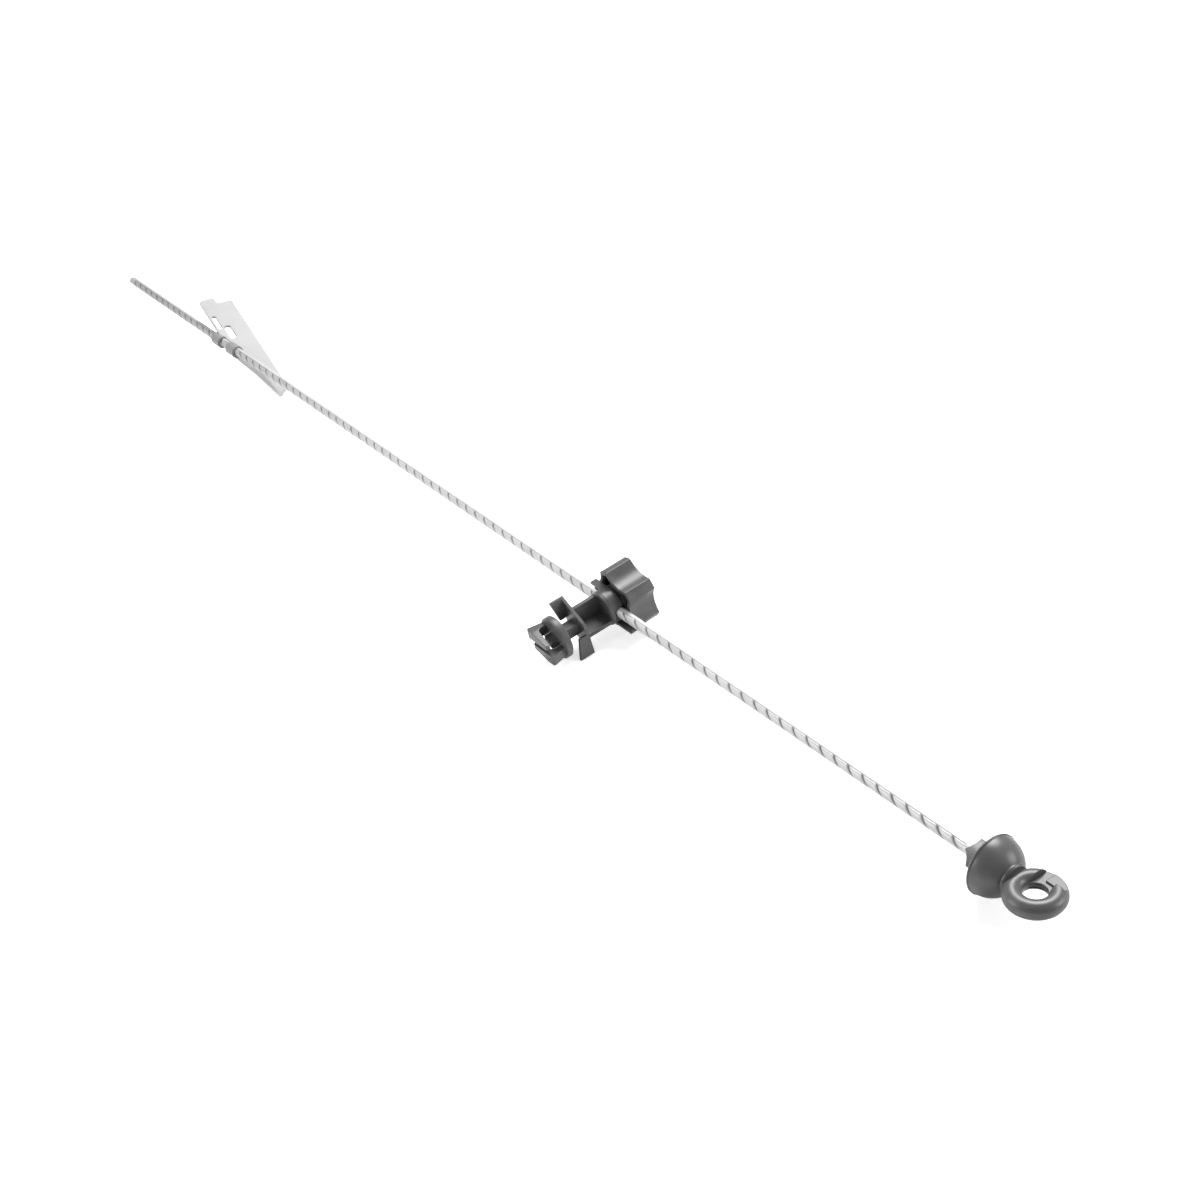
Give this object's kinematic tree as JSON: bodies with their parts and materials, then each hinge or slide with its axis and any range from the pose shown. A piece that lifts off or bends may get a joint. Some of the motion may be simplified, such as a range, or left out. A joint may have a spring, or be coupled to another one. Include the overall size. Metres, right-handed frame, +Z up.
{
  "type": "electric fence post",
  "caption": "Grooved steel rod with a step-in foot plate, a ring insulator on its head and a line insulator clamped along it by a star knob.",
  "frame": {"origin": "middle of the floor area the lying post covers", "axes": "+X along the rod from the ground end to the ring, +Z up from the floor the post lies on, +Y completes the frame, towards the knob side"},
  "size_m": [1.0482, 0.0814, 0.0419],
  "materials": {
    "rod_steel": "zinc coated, pale and even",
    "plate_steel": "zinc coated sheet, matt",
    "black_plastic": "moulded, satin"
  },
  "bodies": {
    "post": {"ribbed_rod": "rod_steel", "foot_plate": "plate_steel", "head_insulator": "black_plastic"},
    "line_insulator": {"insulator_body": "black_plastic"},
    "clamp_knob": {"star_knob": "black_plastic"}
  },
  "joints": [
    {"name": "insulator_slide", "type": "slide", "parent": "post", "child": "line_insulator", "axis": [1, 0, -0.0044], "range_m": [-0.39, 0.27]},
    {"name": "knob_turn", "type": "hinge", "parent": "line_insulator", "child": "clamp_knob", "pos_m": [0.16643, 0.02139, 0.02056], "axis": [0.0005, 0.9945, 0.1049], "range_deg": [0, 300]}
  ]
}
